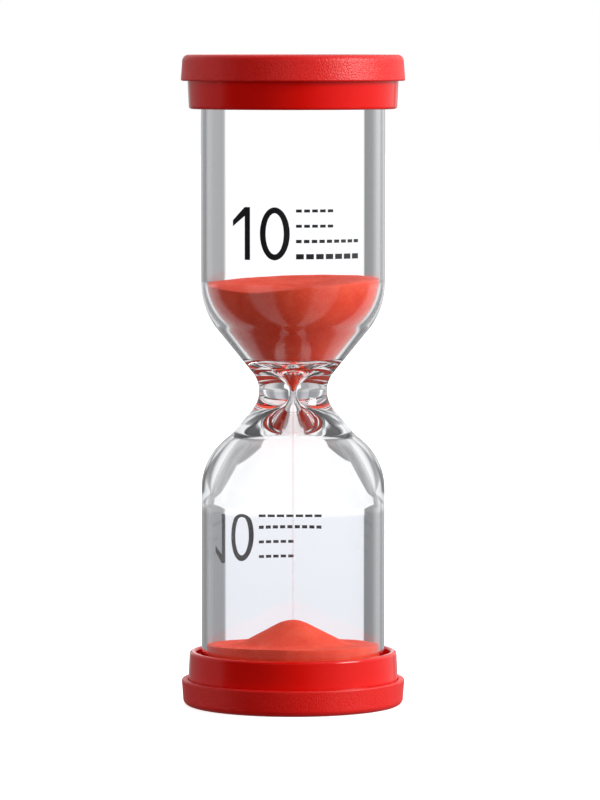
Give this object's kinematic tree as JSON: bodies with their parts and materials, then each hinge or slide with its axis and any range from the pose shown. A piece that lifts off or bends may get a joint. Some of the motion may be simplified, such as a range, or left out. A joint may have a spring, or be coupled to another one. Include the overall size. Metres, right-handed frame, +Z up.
{
  "type": "sand timer",
  "caption": "Tall sand timer: a clear glass with two bulbs and a narrow neck, coloured sand inside, and a round flat-faced plastic end with a stepped rim at the top and the bottom.",
  "frame": {"origin": "centre of the standing face at the bottom of the bottom cover", "axes": "+Z up along the timer's axis; -Y is the front, which the upper print faces; +X is to the right seen from the front"},
  "size_m": [0.0344, 0.0344, 0.1],
  "materials": {
    "cover": "fine spark-eroded texture, satin",
    "collar": "smooth gloss",
    "glass": "clear, fire-polished",
    "sand": "fine dyed grains, matte",
    "glue": "set adhesive",
    "stopper": "soft, matte",
    "ink": "thin screen-printed ink"
  },
  "bodies": {
    "root": {"bottom_cover": "cover", "bottom_collar": "collar", "bottom_glue_pad": "glue", "glass_body": "glass", "lower_sand": "sand", "sand_stream": "sand", "upper_sand": "sand", "fill_stopper": "stopper", "top_glue_pad": "glue", "top_collar": "collar", "top_cover": "cover", "upper_print": "ink", "lower_print": "ink"}
  },
  "joints": []
}
